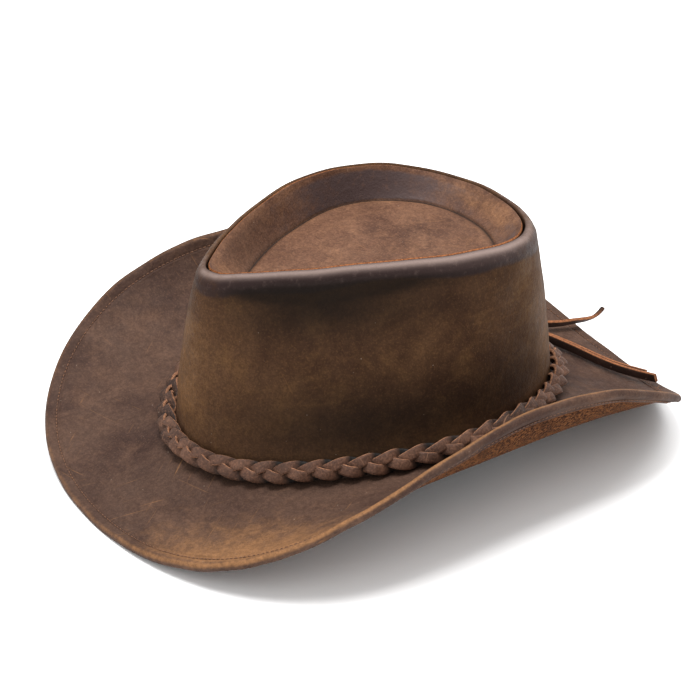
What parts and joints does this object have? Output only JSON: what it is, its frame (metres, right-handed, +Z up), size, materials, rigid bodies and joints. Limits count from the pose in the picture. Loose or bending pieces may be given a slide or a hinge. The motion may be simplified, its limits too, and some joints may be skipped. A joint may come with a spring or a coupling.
{
  "type": "cowboy hat",
  "caption": "Waxed leather cowboy hat with a pinched teardrop crown, a curled wired brim and a braided lace band with loose tails.",
  "frame": {"origin": "on the resting surface, under the middle of the brim's length and width", "axes": "+Z up along the crown, -Y towards the hat's front, +X towards the wearer's left"},
  "size_m": [0.2792, 0.3403, 0.1295],
  "materials": {
    "crown_leather": "waxed, burnished dark at the top roll",
    "tip_leather": "waxed, rubbed lighter",
    "brim_leather": "waxed above, rough suede below",
    "lace_leather": "waxed lace with raw orange-brown edges",
    "lining_leather": "smooth, dull",
    "thread": "waxed polyester",
    "wire_steel": "bright"
  },
  "bodies": {
    "hat": {"crown_side_panel": "crown_leather", "crown_back_seam_strip": "lining_leather", "crown_tip_panel": "tip_leather", "crown_tip_thread": "thread", "brim_panel": "brim_leather", "brim_wire": "wire_steel", "brim_wire_sleeve": "wire_steel", "brim_hem_thread": "thread", "sweatband": "lining_leather", "sweatband_join_tab": "lining_leather", "sweatband_thread": "thread"},
    "hat_band": {"braid_strand_1": "lace_leather", "braid_strand_2": "lace_leather", "braid_strand_3": "lace_leather", "braid_knot": "lace_leather", "right_tail_lace": "lace_leather", "long_tail_lace": "lace_leather", "short_tail_lace": "lace_leather"}
  },
  "joints": [
    {"name": "band_lift", "type": "slide", "parent": "hat", "child": "hat_band", "axis": [0, 0, 1], "range_m": [0, 0.13]}
  ]
}
